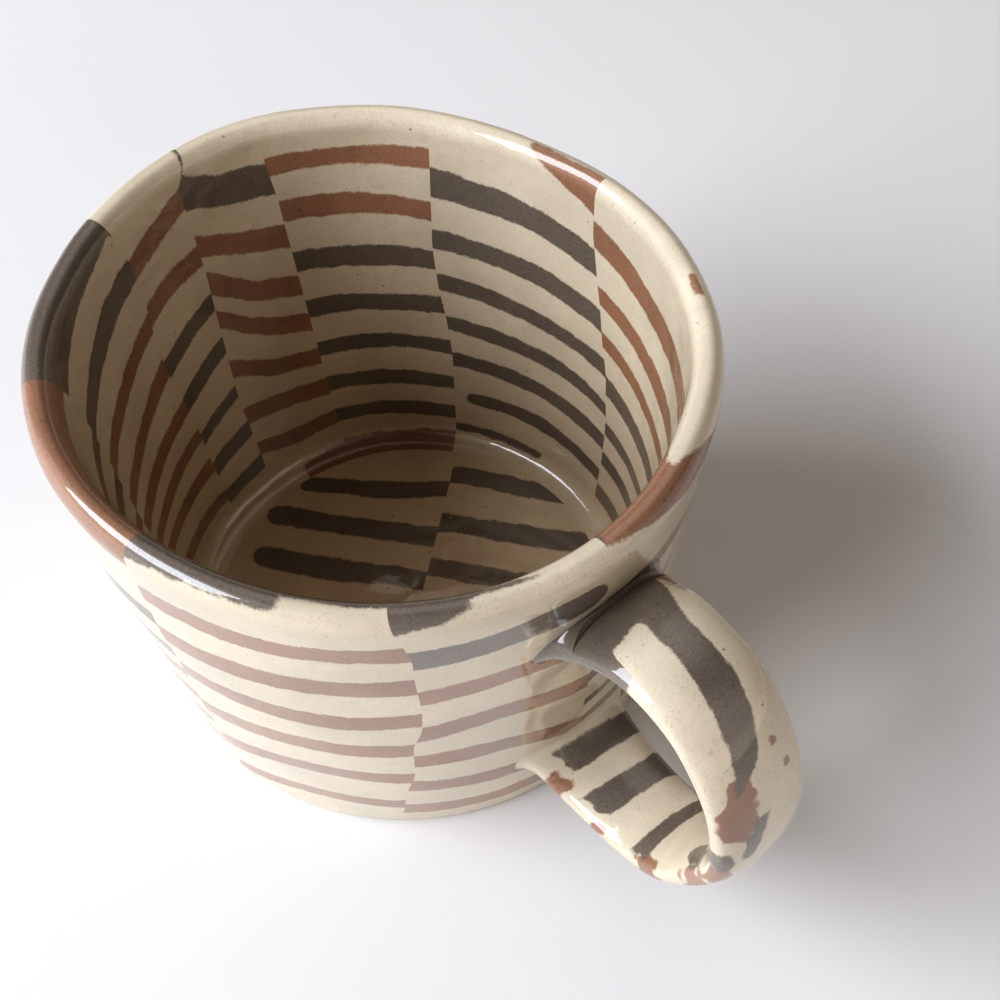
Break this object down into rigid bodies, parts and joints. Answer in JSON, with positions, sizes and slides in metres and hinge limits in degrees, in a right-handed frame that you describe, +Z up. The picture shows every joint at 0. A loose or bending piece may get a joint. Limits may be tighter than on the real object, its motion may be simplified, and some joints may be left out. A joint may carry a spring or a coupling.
{
  "type": "ceramic mug",
  "caption": "Hand-built stoneware mug of striped coloured-clay slabs: gently flared round body, soft rounded rim and a pulled strap handle, under a clear gloss glaze.",
  "frame": {"origin": "centre of the foot's flat underside, on the mug's axis", "axes": "+Z up along the mug's axis to the rim, +X towards the handle"},
  "size_m": [0.122, 0.0918, 0.0764],
  "materials": {
    "grey_striped_stoneware": "cream stoneware striped right through with dark grey clay, under a clear gloss glaze",
    "terracotta_striped_stoneware": "cream stoneware striped right through with red-brown clay, under a clear gloss glaze",
    "mixed_striped_stoneware": "cream stoneware striped right through with red-brown and dark grey clays, under a clear gloss glaze",
    "marbled_stoneware": "patch of cream, red-brown and grey clays worked together, under a clear gloss glaze",
    "luting_clay": "grey and cream joining clay smoothed by finger, under a clear gloss glaze"
  },
  "bodies": {
    "root": {"wall_panel_handle_right": "mixed_striped_stoneware", "wall_panel_right": "grey_striped_stoneware", "wall_panel_back_right": "mixed_striped_stoneware", "wall_panel_back": "terracotta_striped_stoneware", "wall_panel_back_left": "mixed_striped_stoneware", "wall_panel_left": "terracotta_striped_stoneware", "wall_panel_front_left": "mixed_striped_stoneware", "wall_panel_front": "terracotta_striped_stoneware", "wall_panel_handle_left": "mixed_striped_stoneware", "floor_slab_left": "grey_striped_stoneware", "floor_slab_right": "grey_striped_stoneware", "handle_upper_strap": "grey_striped_stoneware", "handle_bend": "marbled_stoneware", "handle_lower_strap": "grey_striped_stoneware", "handle_upper_joint": "luting_clay", "handle_lower_joint": "luting_clay"}
  },
  "joints": []
}
